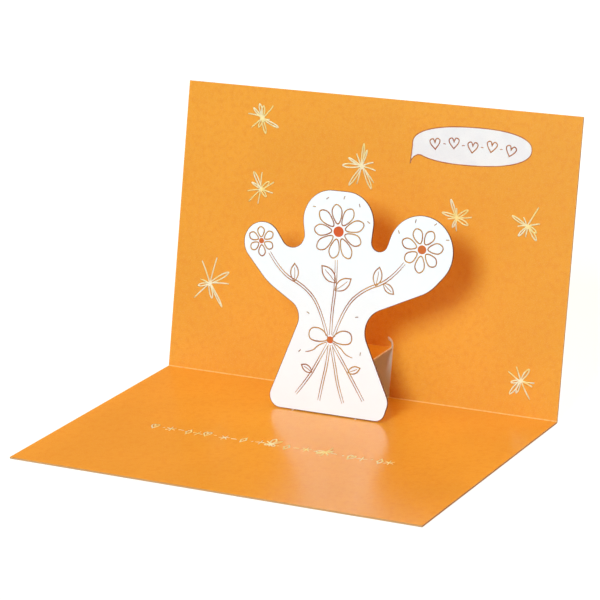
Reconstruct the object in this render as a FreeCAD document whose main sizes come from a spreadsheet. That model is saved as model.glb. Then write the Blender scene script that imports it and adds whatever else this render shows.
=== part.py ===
import FreeCAD, Part
import enum
import math
import os
import Sketcher

# Pop-up greeting card, standing open.
#
# Three pieces of card make it:
#   cover        the outer card, one sheet folded once
#   inner_sheet  the printed sheet glued inside the cover, folded along the
#                same line, with a strip slit free and pushed out as a step
#   figure       the die-cut figure glued to the front of that step
#
# The origin is the middle of the base panel's underside. X runs along the
# fold, -Y points to the front edge and Z is up. The cover and the inner
# sheet are drawn in section, on the YZ plane. The figure is drawn in its own
# leaning plane, with X across and Y up the figure.

# The card's sizes, in millimetres and degrees.
CARD_SIZES = {
    "panel_width": 148.0,
    "panel_depth": 100.0,
    "opening_angle": 103.3,
    "cover_thickness": 0.3,
    "sheet_thickness": 0.3,
    "crease_radius": 0.15,
    "strip_width": 23.6,
    "strip_centre": 0.3,
    "strip_depth": 23.6,
    "strip_height": 17.0,
    "strip_root": 2.0,
    "slit_gap": 0.25,
    "slit_hook_radius": 2.5,
    "slit_hook_sweep": 75.0,
    "slit_front_length": 0.8,
}

# The figure's sizes. Places are measured from the middle of the card and
# from the base, along the figure.
FIGURE_SIZES = {
    "figure_thickness": 0.4,
    "figure_lift": 0.15,
    "head_width": 26.2,
    "head_top": 74.5,
    "head_corner": 10.2,
    "right_notch_width": 5.9,
    "right_notch_inset": 2.7,
    "right_notch_up": 59.0,
    "right_notch_radius": 3.0,
    "right_hand_up": 57.6,
    "right_hand_radius": 11.8,
    "right_arm_across": 26.1,
    "right_arm_up": 57.0,
    "right_arm_radius": 15.0,
    "right_waist_across": 21.0,
    "right_waist_up": 29.4,
    "right_waist_radius": 8.0,
    "right_heel_across": 18.6,
    "right_heel_up": 6.4,
    "right_heel_radius": 4.8,
    "right_toe_across": 19.1,
    "right_toe_radius": 3.6,
    "left_toe_across": -16.4,
    "left_toe_radius": 4.2,
    "left_waist_across": -18.0,
    "left_waist_up": 30.7,
    "left_waist_radius": 6.0,
    "left_arm_across": -9.4,
    "left_arm_up": 61.1,
    "left_arm_radius": 24.7,
    "left_hand_radius": 6.9,
    "left_hand_up": 54.6,
    "left_notch_width": 7.9,
    "left_notch_inset": 3.5,
    "left_notch_up": 58.5,
    "left_notch_radius": 4.4,
    "notch_bridge": 0.2,
}

OUT_FOLDER = "parts"


class SketchPoint(enum.IntEnum):
    """The points of a line or an arc, in the order that a sketch numbers them."""

    START = enum.auto()
    END = enum.auto()
    CENTRE = enum.auto()


START, END, CENTRE = SketchPoint
SKETCH_ORIGIN = -1


def make_sheet(doc, sizes):
    """Fill a spreadsheet with one named cell for each size."""
    sheet = doc.addObject("Spreadsheet::Sheet", "sizes")
    for row, (alias, value) in enumerate(sizes.items(), start=1):
        sheet.set(f"A{row}", alias)
        sheet.set(f"B{row}", repr(value))
        sheet.setAlias(f"B{row}", alias)
    doc.recompute()
    return sheet


def value_of(sheet, expression):
    """Work out an expression of the sheet's sizes as a plain number."""
    result = sheet.evalExpression(expression)
    return float(getattr(result, "Value", result))


class BoundSketch:
    """A sketch whose driving constraints are bound to the sheet."""

    def __init__(self, body, name, plane_role, sheet):
        self.sheet = sheet
        self.sketch = body.newObject("Sketcher::SketchObject", name)
        plane = next(item for item in body.Origin.OriginFeatures if item.Role == plane_role)
        self.sketch.AttachmentSupport = [(plane, "")]
        self.sketch.MapMode = "FlatFace"

    def place(self, **offsets):
        """Bind the sketch's offset from its plane: x, y, z and tilt about X."""
        self.sketch.AttachmentOffset = FreeCAD.Placement(
            FreeCAD.Vector(0, 0, 0), FreeCAD.Rotation(FreeCAD.Vector(1, 0, 0), 1.0)
        )
        for axis in "xyz":
            self.sketch.setExpression(f"AttachmentOffset.Base.{axis}", offsets.get(axis, "0"))
        self.sketch.setExpression("AttachmentOffset.Rotation.Angle", offsets.get("tilt", "0"))

    def number(self, expression):
        """Work out an expression of the sheet's sizes as a plain number."""
        return value_of(self.sheet, expression)

    def line(self, start, end, construction=False):
        """Draw a line between two points and return its number."""
        segment = Part.LineSegment(FreeCAD.Vector(*start, 0), FreeCAD.Vector(*end, 0))
        return self.sketch.addGeometry(segment, construction)

    def arc(self, centre, radius, start, end):
        """Draw an arc anticlockwise from one point to another."""
        angles = [math.atan2(p[1] - centre[1], p[0] - centre[0]) for p in (start, end)]
        circle = Part.Circle(FreeCAD.Vector(*centre, 0), FreeCAD.Vector(0, 0, 1), radius)
        return self.sketch.addGeometry(Part.ArcOfCircle(circle, *angles))

    def fix(self, *constraint):
        """Add a constraint that has no size."""
        self.sketch.addConstraint(Sketcher.Constraint(*constraint))

    def size(self, kind, *items_and_expression):
        """Add a constraint whose size is bound to an expression."""
        *items, expression = items_and_expression
        constraint = Sketcher.Constraint(kind, *items, self.number(expression))
        index = self.sketch.addConstraint(constraint)
        self.sketch.setExpression(f"Constraints[{index}]", expression)

    def locate(self, geometry, point, across, up):
        """Bind a point's two distances from the sketch's origin."""
        self.size("DistanceX", SKETCH_ORIGIN, START, geometry, point, across)
        self.size("DistanceY", SKETCH_ORIGIN, START, geometry, point, up)


def offset_corners(corners, distance):
    """Move a run of corners to its right by a distance, keeping the runs parallel."""
    normals = []
    for (x0, y0), (x1, y1) in zip(corners, corners[1:]):
        length = math.hypot(x1 - x0, y1 - y0)
        normals.append(((y1 - y0) / length, -(x1 - x0) / length))
    moved = [tuple(c + distance * n for c, n in zip(corners[0], normals[0]))]
    for corner, before, after in zip(corners[1:-1], normals, normals[1:]):
        share = distance / (1.0 + before[0] * after[0] + before[1] * after[1])
        moved.append(tuple(c + share * (b + a) for c, b, a in zip(corner, before, after)))
    moved.append(tuple(c + distance * n for c, n in zip(corners[-1], normals[-1])))
    return moved


def round_corner(before, corner, after, radius):
    """Find the arc that rounds a corner.

    Returns its centre, the points where it begins and ends, and whether it
    turns to the left.
    """
    first = (corner[0] - before[0], corner[1] - before[1])
    second = (after[0] - corner[0], after[1] - corner[1])
    first_unit = tuple(c / math.hypot(*first) for c in first)
    second_unit = tuple(c / math.hypot(*second) for c in second)
    cross = first_unit[0] * second_unit[1] - first_unit[1] * second_unit[0]
    dot = first_unit[0] * second_unit[0] + first_unit[1] * second_unit[1]
    side = math.copysign(1.0, cross)
    cut = radius * math.tan(abs(math.atan2(cross, dot)) / 2.0)
    begin = tuple(c - cut * u for c, u in zip(corner, first_unit))
    finish = tuple(c + cut * u for c, u in zip(corner, second_unit))
    centre = (begin[0] - side * radius * first_unit[1], begin[1] + side * radius * first_unit[0])
    return centre, begin, finish, cross > 0


def draw_rounded_run(drawing, corners, radii):
    """Draw a run of lines with an arc of a bound radius at each inner corner.

    Returns the numbers of the lines.
    """
    numbers = [drawing.number(radius) for radius in radii]
    rounds = [
        round_corner(*corners[i:i + 3], numbers[i]) for i in range(len(numbers))
    ]
    starts = [corners[0]] + [finish for _, _, finish, _ in rounds]
    ends = [begin for _, begin, _, _ in rounds] + [corners[-1]]
    lines = [drawing.line(start, end) for start, end in zip(starts, ends)]
    for i, (centre, begin, finish, left) in enumerate(rounds):
        points = (begin, finish) if left else (finish, begin)
        arc = drawing.arc(centre, numbers[i], *points)
        first, last = (START, END) if left else (END, START)
        drawing.fix("Tangent", lines[i], END, arc, first)
        drawing.fix("Tangent", arc, last, lines[i + 1], START)
        drawing.size("Radius", arc, radii[i])
    return lines


def draw_folded_section(drawing, corners, left_turns, thickness, crease):
    """Draw the section of a folded sheet from the corners of its printed face.

    Args:
        drawing: the sketch to draw in.
        corners: expressions for the place of each corner, with sharp folds.
        left_turns: for each fold, whether the printed face is inside it.
        thickness: expression for the sheet's thickness.
        crease: expression for the radius inside each fold.
    """
    places = [tuple(drawing.number(part) for part in corner) for corner in corners]
    path = [drawing.line(a, b, construction=True) for a, b in zip(places, places[1:])]
    drawing.locate(path[0], START, *corners[0])
    for i, corner in enumerate(corners[1:]):
        drawing.locate(path[i], END, *corner)
        if i + 1 < len(path):
            drawing.fix("Coincident", path[i], END, path[i + 1], START)
    outside = f"{crease} + {thickness}"
    face_radii = [crease if left else outside for left in left_turns]
    back_radii = [outside if left else crease for left in left_turns]
    back_places = offset_corners(places, drawing.number(thickness))
    face = draw_rounded_run(drawing, places, face_radii)
    back = draw_rounded_run(drawing, back_places, back_radii)
    for guide, front, rear in zip(path, face, back):
        drawing.fix("Parallel" if guide in (path[0], path[-1]) else "Tangent", guide, front)
        drawing.fix("Parallel", front, rear)
        drawing.size("Distance", rear, START, front, thickness)
    for index, point, place, back_place in (
        (0, START, places[0], back_places[0]), (-1, END, places[-1], back_places[-1])
    ):
        cap = drawing.line(place, back_place)
        drawing.fix("Coincident", cap, START, face[index], point)
        drawing.fix("Coincident", cap, END, back[index], point)
        drawing.fix("Perpendicular", cap, face[index])
        drawing.fix("Coincident", path[index], point, face[index], point)


def draw_polygon(drawing, corners):
    """Draw a closed polygon whose corners are bound expressions."""
    places = [tuple(drawing.number(part) for part in corner) for corner in corners]
    lines = [drawing.line(a, b) for a, b in zip(places, places[1:] + places[:1])]
    for i, corner in enumerate(corners):
        drawing.fix("Coincident", lines[i - 1], END, lines[i], START)
        drawing.locate(lines[i], START, *corner)


def draw_arc_slot(drawing, centre, radius, gap, sweep, side):
    """Draw a slot along an arc that starts level with its centre and curls up.

    Args:
        drawing: the sketch to draw in.
        centre: expressions for the place of the arc's centre.
        radius: expression for the radius of the slot's middle line.
        gap: expression for the slot's width.
        sweep: expression for the angle that the slot runs through.
        side: 1 where the slot starts to the right of its centre, else -1.
    """
    middle = tuple(drawing.number(part) for part in centre)
    turn = math.radians(drawing.number(sweep))
    arcs = []
    for sign in (1, -1):
        size = drawing.number(radius) + sign * drawing.number(gap) / 2.0
        low = (middle[0] + side * size, middle[1])
        high = (middle[0] + side * size * math.cos(turn), middle[1] + size * math.sin(turn))
        arc = drawing.arc(middle, size, *((low, high) if side > 0 else (high, low)))
        drawing.locate(arc, CENTRE, *centre)
        drawing.size("Radius", arc, f"{radius} + {sign} * {gap} / 2")
        arcs.append((arc, low, high))
    low_point, high_point = (START, END) if side > 0 else (END, START)
    foot = drawing.line(arcs[0][1], arcs[1][1])
    tip = drawing.line(arcs[0][2], arcs[1][2])
    for line, point in ((foot, low_point), (tip, high_point)):
        drawing.fix("Coincident", line, START, arcs[0][0], point)
        drawing.fix("Coincident", line, END, arcs[1][0], point)
    for arc, _, _ in arcs:
        drawing.fix("Horizontal", arc, low_point, arc, CENTRE)
    drawing.fix("PointOnObject", arcs[0][0], CENTRE, tip)
    drawing.size("Angle", foot, tip, f"{'' if side > 0 else '-'}{sweep}")


def belt_contact(first, second):
    """Find where a straight edge touches two rounds of a clockwise outline.

    Args:
        first: across, up, radius and side of the round that the edge leaves.
        second: the same for the round that it reaches. The side is 1 where
            the outline goes round the outside and -1 in a hollow.
    """
    x0, y0, r0, s0 = first
    x1, y1, r1, s1 = second
    gap = math.hypot(x1 - x0, y1 - y0)
    along = ((x1 - x0) / gap, (y1 - y0) / gap)
    share = (s0 * r0 - s1 * r1) / gap
    rest = math.sqrt(1.0 - share * share)
    normal = (share * along[0] - rest * along[1], share * along[1] + rest * along[0])
    leave = (x0 + s0 * r0 * normal[0], y0 + s0 * r0 * normal[1])
    reach = (x1 + s1 * r1 * normal[0], y1 + s1 * r1 * normal[1])
    return leave, reach


def draw_belt(drawing, rounds):
    """Draw a closed outline of arcs joined by straight edges, clockwise.

    Args:
        drawing: the sketch to draw in.
        rounds: for each arc, expressions for across, up and radius, and its
            side, which is 1 on the outside and -1 in a hollow.
    """
    places = [(*(drawing.number(part) for part in item[:3]), item[3]) for item in rounds]
    contacts = [belt_contact(a, b) for a, b in zip(places, places[1:] + places[:1])]
    arcs = []
    for i, (across, up, radius, side) in enumerate(places):
        arrive = contacts[i - 1][1]
        leave = contacts[i][0]
        ends = (leave, arrive) if side > 0 else (arrive, leave)
        arc = drawing.arc((across, up), radius, *ends)
        drawing.locate(arc, CENTRE, rounds[i][0], rounds[i][1])
        drawing.size("Radius", arc, rounds[i][2])
        arcs.append(arc)
    edges = [drawing.line(leave, reach) for leave, reach in contacts]
    for i, edge in enumerate(edges):
        following = (i + 1) % len(arcs)
        leave_point = START if rounds[i][3] > 0 else END
        reach_point = END if rounds[following][3] > 0 else START
        drawing.fix("Tangent", arcs[i], leave_point, edge, START)
        drawing.fix("Tangent", edge, END, arcs[following], reach_point)


def pad(body, name, drawing, length, both_ways=False):
    """Pad a sketch by a bound length."""
    feature = body.newObject("PartDesign::Pad", name)
    feature.Profile = drawing.sketch
    feature.setExpression("Length", length)
    if both_ways:
        feature.SideType = "Symmetric"
    return feature


def cut(body, name, drawing, length, both_ways=False):
    """Cut a sketch into the body by a bound length."""
    feature = body.newObject("PartDesign::Pocket", name)
    feature.Profile = drawing.sketch
    feature.setExpression("Length", length)
    if both_ways:
        feature.SideType = "Symmetric"
    return feature


# Places that the pieces share. Each is an expression of the sheet's sizes.
LEAN = "(sizes.opening_angle - 90)"
FACE_UP = "(sizes.cover_thickness + sizes.sheet_thickness)"
FOLD_BACK = "(sizes.panel_depth / 2)"
STEP_FRONT = f"({FOLD_BACK} - sizes.strip_depth)"
HALF_TURN_TAN = "tan((180 - sizes.opening_angle) / 2)"
CREASE_REACH = f"(sizes.crease_radius * {HALF_TURN_TAN})"
SLIT_EDGE = "(sizes.strip_width / 2)"


def up_the_back(distance, forward="0"):
    """Give the place in section at a distance up the back panel's printed face."""
    return (
        f"{FOLD_BACK} + {distance} * sin({LEAN}) - {forward} * cos({LEAN})",
        f"{FACE_UP} + {distance} * cos({LEAN}) + {forward} * sin({LEAN})",
    )


def make_cover(doc, sheet):
    """Make the outer card: a base and a back in one sheet, folded once."""
    body = doc.addObject("PartDesign::Body", "cover")
    section = BoundSketch(body, "cover_section", "YZ_Plane", sheet)
    inside = "sizes.sheet_thickness"
    corners = [
        (f"-{FOLD_BACK}", "sizes.cover_thickness"),
        (f"{FOLD_BACK} + {inside} * {HALF_TURN_TAN}", "sizes.cover_thickness"),
        up_the_back("sizes.panel_depth", f"(-{inside})"),
    ]
    crease = "sizes.crease_radius + sizes.sheet_thickness"
    draw_folded_section(section, corners, [True], "sizes.cover_thickness", crease)
    pad(body, "cover_pad", section, "sizes.panel_width", both_ways=True)
    return body


def make_inner_sheet(doc, sheet):
    """Make the printed sheet, with its slit strip pushed out as a step."""
    body = doc.addObject("PartDesign::Body", "inner_sheet")
    thickness = "sizes.sheet_thickness"
    crease = "sizes.crease_radius"

    section = BoundSketch(body, "sheet_section", "YZ_Plane", sheet)
    corners = [(f"-{FOLD_BACK}", FACE_UP), (FOLD_BACK, FACE_UP), up_the_back("sizes.panel_depth")]
    draw_folded_section(section, corners, [True], thickness, crease)
    pad(body, "sheet_pad", section, "sizes.panel_width", both_ways=True)

    # The window that the strip leaves behind it, round the fold.
    window = BoundSketch(body, "window_section", "YZ_Plane", sheet)
    window.place(z="sizes.strip_centre")
    front = f"({STEP_FRONT} - {CREASE_REACH})"
    top = f"(sizes.strip_height + {CREASE_REACH})"
    margin = f"(2 * {thickness})"
    draw_polygon(window, [
        (front, f"{FACE_UP} + {margin}"),
        (f"{FOLD_BACK} - {margin}", f"{FACE_UP} + {margin}"),
        up_the_back(top, margin),
        up_the_back(top, f"(-{margin})"),
        (f"{FOLD_BACK} + {margin}", f"{FACE_UP} - {margin}"),
        (front, f"{FACE_UP} - {margin}"),
    ])
    cut(body, "window", window, "sizes.strip_width", both_ways=True)

    # The strip: up the step's front, back over its top and onto the back panel.
    strip = BoundSketch(body, "strip_section", "YZ_Plane", sheet)
    strip.place(z="sizes.strip_centre")
    root = "sizes.strip_root"
    step_up = f"sizes.strip_height * sin({LEAN})"
    corners = [
        (f"{STEP_FRONT} - {root}", FACE_UP),
        (STEP_FRONT, FACE_UP),
        (f"{STEP_FRONT} + {step_up}", f"{FACE_UP} + sizes.strip_height * cos({LEAN})"),
        up_the_back("sizes.strip_height"),
        up_the_back(f"(sizes.strip_height + {root})"),
    ]
    draw_folded_section(strip, corners, [True, False, True], thickness, crease)
    pad(body, "strip_pad", strip, "sizes.strip_width", both_ways=True)

    # The slits run on past the creases: straight on the base, and curled
    # inwards on the back so that the card doesn't tear there.
    front_slits = BoundSketch(body, "front_slits", "XY_Plane", sheet)
    front_slits.place(x="sizes.strip_centre", z=FACE_UP)
    back_slits = BoundSketch(body, "back_slits", "XZ_Plane", sheet)
    back_slits.place(x="sizes.strip_centre", y=FACE_UP, z=f"-{FOLD_BACK}", tilt=f"-{LEAN}")
    for side in (-1, 1):
        edge = f"{side} * {SLIT_EDGE}"
        half = "sizes.slit_gap / 2"
        near = f"{front} - sizes.slit_front_length"
        draw_polygon(front_slits, [
            (f"{edge} - {half}", front), (f"{edge} + {half}", front),
            (f"{edge} + {half}", near), (f"{edge} - {half}", near),
        ])
        centre = (f"{side} * ({SLIT_EDGE} - sizes.slit_hook_radius)", top)
        draw_arc_slot(
            back_slits, centre, "sizes.slit_hook_radius", "sizes.slit_gap",
            "sizes.slit_hook_sweep", side,
        )
    cut(body, "front_slit_cut", front_slits, margin)
    cut(body, "back_slit_cut", back_slits, margin)
    return body


def limited(radius, place, neighbours):
    """Limit a hollow's radius by the room between its two neighbours.

    Args:
        radius: the size that the hollow has where there is room for it.
        place: expressions for the hollow's centre.
        neighbours: the arcs before and after it.
    """
    rooms = [
        f"sqrt(({place[0]} - {across})^2 + ({place[1]} - {up})^2) - {size} - sizes.notch_bridge"
        for across, up, size, _ in neighbours
    ]
    return f"min({radius}; {rooms[0]}; {rooms[1]})"


def figure_outline():
    """List the arcs of the figure's outline, clockwise from the head's left."""
    half_head = "sizes.head_width / 2"
    corner_across = f"({half_head} - sizes.head_corner)"
    corner_up = "(sizes.head_top - sizes.head_corner)"
    right_hand = f"({half_head} + sizes.right_notch_width + sizes.right_hand_radius)"
    left_hand = f"(-{half_head} - sizes.left_notch_width - sizes.left_hand_radius)"
    outside = {
        "head_left": (f"-{corner_across}", corner_up, "sizes.head_corner", 1),
        "head_right": (corner_across, corner_up, "sizes.head_corner", 1),
        "right_hand": (right_hand, "sizes.right_hand_up", "sizes.right_hand_radius", 1),
        "left_hand": (left_hand, "sizes.left_hand_up", "sizes.left_hand_radius", 1),
        "right_toe": (
            "sizes.right_toe_across", "(sizes.figure_lift + sizes.right_toe_radius)",
            "sizes.right_toe_radius", 1,
        ),
        "left_toe": (
            "sizes.left_toe_across", "(sizes.figure_lift + sizes.left_toe_radius)",
            "sizes.left_toe_radius", 1,
        ),
    }
    for name in ("right_arm", "right_heel", "left_arm"):
        outside[name] = (f"sizes.{name}_across", f"sizes.{name}_up", f"sizes.{name}_radius", 1)
    hollow_places = {
        "right_notch": (f"({half_head} + sizes.right_notch_inset)", "sizes.right_notch_up"),
        "left_notch": (f"(-{half_head} - sizes.left_notch_inset)", "sizes.left_notch_up"),
        "right_waist": ("sizes.right_waist_across", "sizes.right_waist_up"),
        "left_waist": ("sizes.left_waist_across", "sizes.left_waist_up"),
    }
    beside = {
        "right_notch": ("head_right", "right_hand"),
        "right_waist": ("right_arm", "right_heel"),
        "left_waist": ("left_toe", "left_arm"),
        "left_notch": ("left_hand", "head_left"),
    }
    hollows = {}
    for name, place in hollow_places.items():
        neighbours = [outside[other] for other in beside[name]]
        hollows[name] = (*place, limited(f"sizes.{name}_radius", place, neighbours), -1)
    rounds = {**outside, **hollows}
    order = (
        "head_left", "head_right", "right_notch", "right_hand", "right_arm", "right_waist",
        "right_heel", "right_toe", "left_toe", "left_waist", "left_arm", "left_hand",
        "left_notch",
    )
    return [rounds[name] for name in order]


def make_figure(doc, sheet):
    """Make the die-cut figure, parallel to the back and glued to the step."""
    body = doc.addObject("PartDesign::Body", "figure")
    outline = BoundSketch(body, "figure_outline", "XZ_Plane", sheet)
    outline.place(y=FACE_UP, z=f"-{STEP_FRONT}", tilt=f"-{LEAN}")
    draw_belt(outline, figure_outline())
    pad(body, "figure_pad", outline, "sizes.figure_thickness")
    return body


def check_document(doc, bodies):
    """Stop where an object has failed or a piece isn't one valid solid."""
    for item in doc.Objects:
        faults = {"Invalid", "Error"}.intersection(item.State)
        if faults:
            raise RuntimeError(f"{item.Name} is in state {sorted(faults)}")
    for body in bodies:
        shape = body.Shape
        if shape.isNull() or not shape.isValid() or len(shape.Solids) != 1:
            raise RuntimeError(f"{body.Label} isn't one valid solid")


def main():
    """Build the card and write one STEP file for each piece."""
    doc = FreeCAD.newDocument("greeting_card")
    sheet = make_sheet(doc, {**CARD_SIZES, **FIGURE_SIZES})
    bodies = [maker(doc, sheet) for maker in (make_cover, make_inner_sheet, make_figure)]
    doc.recompute()
    check_document(doc, bodies)
    os.makedirs(OUT_FOLDER, exist_ok=True)
    for body in bodies:
        body.Shape.exportStep(os.path.join(OUT_FOLDER, f"{body.Label}.step"))
        print(f"{body.Label}: volume {body.Shape.Volume:.1f} mm3, {body.Shape.BoundBox}")


main()
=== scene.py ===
"""Looks of a pop-up greeting card: its card stock, its print and the studio round it."""

import logging
import math
import random
from dataclasses import dataclass, field
from enum import Enum
from typing import Any, Optional, Sequence, Union

import bmesh
import bpy
from mathutils import Matrix, Vector


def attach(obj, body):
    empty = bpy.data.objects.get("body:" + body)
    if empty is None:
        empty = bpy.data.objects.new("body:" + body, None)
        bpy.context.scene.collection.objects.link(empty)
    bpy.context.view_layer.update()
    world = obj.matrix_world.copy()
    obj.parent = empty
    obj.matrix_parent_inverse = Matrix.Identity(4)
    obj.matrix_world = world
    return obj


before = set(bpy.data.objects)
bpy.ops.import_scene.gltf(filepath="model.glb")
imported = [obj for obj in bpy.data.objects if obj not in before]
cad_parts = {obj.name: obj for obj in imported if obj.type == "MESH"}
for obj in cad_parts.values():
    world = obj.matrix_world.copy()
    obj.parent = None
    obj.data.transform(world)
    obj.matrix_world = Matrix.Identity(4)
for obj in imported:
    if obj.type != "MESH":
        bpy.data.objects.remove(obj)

LOG = logging.getLogger("greeting_card")
MM = 0.001
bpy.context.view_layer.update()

Colour = tuple[float, float, float, float]
Point = tuple[float, float]

WHITE: Colour = (1.0, 1.0, 1.0, 1.0)
CARD_IOR = 1.5
FACE_COSINE = 0.7
INK_RISE = 0.02
MERGE_DISTANCE = 1e-7


def tint(red: int, green: int, blue: int) -> Colour:
    """Turn a colour into the linear one that shaders use.

    Args:
        red: its red, from 0 to 255.
        green: its green, likewise.
        blue: its blue, likewise.

    Returns:
        The linear colour, opaque.
    """
    linear = []
    for step in (red, green, blue):
        share = step / 255.0
        linear.append(share / 12.92 if share <= 0.04045 else ((share + 0.055) / 1.055) ** 2.4)
    return (*linear, 1.0)


def scaled(colour: Colour, amount: float) -> Colour:
    """Make a colour lighter or darker by a factor."""
    return (*(min(1.0, part * amount) for part in colour[:3]), 1.0)


def towards(azimuth: float, elevation: float) -> Vector:
    """Give a direction seen from the card.

    Args:
        azimuth: degrees to the right of the card's front.
        elevation: degrees above the horizon.

    Returns:
        The direction, of length 1.
    """
    around, height = math.radians(azimuth), math.radians(elevation)
    level = math.cos(height)
    return Vector((math.sin(around) * level, -math.cos(around) * level, math.sin(height)))


class Slot(Enum):
    """The record's material slots."""

    COVER = "cover"
    INNER_SHEET = "inner_sheet"
    FIGURE = "figure"


# ---------------------------------------------------------------- the card's faces


@dataclass(frozen=True)
class Face:
    """A flat face of the card, with its own across and up directions.

    Args:
        origin: the point from which across and up are measured, in metres.
        up: the direction of up, of length 1.
    """

    origin: Vector
    up: Vector

    @property
    def out(self) -> Vector:
        """The direction that points out of the face."""
        return Vector((1.0, 0.0, 0.0)).cross(self.up)

    def place(self) -> Matrix:
        """Give the matrix that lays a flat drawing on this face."""
        columns = (Vector((1.0, 0.0, 0.0)), self.up, self.out)
        turn = Matrix([[column[row] for column in columns] for row in range(3)])
        return Matrix.Translation(self.origin) @ turn.to_4x4()


@dataclass(frozen=True)
class CardShape:
    """Where the card's faces and creases lie, in metres and degrees."""

    width: float = 148.0 * MM
    depth: float = 100.0 * MM
    opening: float = 103.3
    face_up: float = 0.6 * MM
    step_middle: float = 0.3 * MM
    step_width: float = 23.6 * MM
    step_depth: float = 23.6 * MM
    step_height: float = 17.0 * MM
    slit_end: float = 17.8 * MM
    slit_curl: float = 2.5 * MM
    figure_thickness: float = 0.4 * MM

    @property
    def lean(self) -> float:
        """The angle, in radians, that the back leans away from upright."""
        return math.radians(self.opening - 90.0)

    @property
    def up_the_back(self) -> Vector:
        """The direction that runs up the back panel."""
        return Vector((0.0, math.sin(self.lean), math.cos(self.lean)))

    @property
    def fold(self) -> Vector:
        """The middle of the crease between the base and the back."""
        return Vector((0.0, self.depth / 2.0, self.face_up))

    @property
    def step_foot(self) -> Vector:
        """The middle of the crease at the foot of the step."""
        return self.fold - Vector((0.0, self.step_depth, 0.0))

    @property
    def printed_side(self) -> Vector:
        """A direction that every printed face looks towards, and no edge does."""
        lift = math.radians(90.0 - math.degrees(self.lean)) / 2.0 + self.lean
        return Vector((0.0, -math.cos(lift), math.sin(lift)))

    @property
    def base_face(self) -> Face:
        """The printed face of the base, measured from the card's middle."""
        return Face(Vector((0.0, 0.0, self.face_up)), Vector((0.0, 1.0, 0.0)))

    @property
    def back_face(self) -> Face:
        """The printed face of the back, measured from the fold."""
        return Face(self.fold, self.up_the_back)

    @property
    def figure_face(self) -> Face:
        """The front of the die-cut figure, measured from the base."""
        rear = Face(self.step_foot, self.up_the_back)
        return Face(rear.origin + rear.out * self.figure_thickness, self.up_the_back)


# ---------------------------------------------------------------- shaders

Value = Union["Signal", float]


class Signal:
    """A number that varies over a surface, for use in ordinary expressions."""

    def __init__(self, shader: "Shader", socket: bpy.types.NodeSocket) -> None:
        """Wrap a socket of a shader's node."""
        self.shader = shader
        self.socket = socket

    def _with(self, operation: str, first: Value, second: Value) -> "Signal":
        """Join two values with a Math node."""
        node = self.shader.node("ShaderNodeMath", {"operation": operation}, {0: first, 1: second})
        return Signal(self.shader, node.outputs[0])

    def __add__(self, other: Value) -> "Signal":
        """Add."""
        return self._with("ADD", self, other)

    def __radd__(self, other: Value) -> "Signal":
        """Add to a plain number."""
        return self._with("ADD", other, self)

    def __sub__(self, other: Value) -> "Signal":
        """Subtract."""
        return self._with("SUBTRACT", self, other)

    def __rsub__(self, other: Value) -> "Signal":
        """Subtract from a plain number."""
        return self._with("SUBTRACT", other, self)

    def __mul__(self, other: Value) -> "Signal":
        """Multiply."""
        return self._with("MULTIPLY", self, other)

    def __rmul__(self, other: Value) -> "Signal":
        """Multiply a plain number."""
        return self._with("MULTIPLY", other, self)

    def __truediv__(self, other: Value) -> "Signal":
        """Divide."""
        return self._with("DIVIDE", self, other)

    def __pow__(self, other: Value) -> "Signal":
        """Raise to a power."""
        return self._with("POWER", self, other)

    def __gt__(self, other: Value) -> "Signal":
        """Give 1 where this is greater, else 0."""
        return self._with("GREATER_THAN", self, other)

    def size(self) -> "Signal":
        """Drop the sign."""
        return self._with("ABSOLUTE", self, 0.0)

    def least(self, other: Value) -> "Signal":
        """Take the smaller of two."""
        return self._with("MINIMUM", self, other)

    def most(self, other: Value) -> "Signal":
        """Take the greater of two."""
        return self._with("MAXIMUM", self, other)

    def within(self) -> "Signal":
        """Hold the value between 0 and 1."""
        return self.most(0.0).least(1.0)

    def rising(self, low: float, high: float) -> "Signal":
        """Go smoothly from 0 at low to 1 at high."""
        node = self.shader.node(
            "ShaderNodeMapRange", {"interpolation_type": "SMOOTHSTEP"},
            {"Value": self, "From Min": low, "From Max": high},
        )
        return Signal(self.shader, node.outputs[0])


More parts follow.
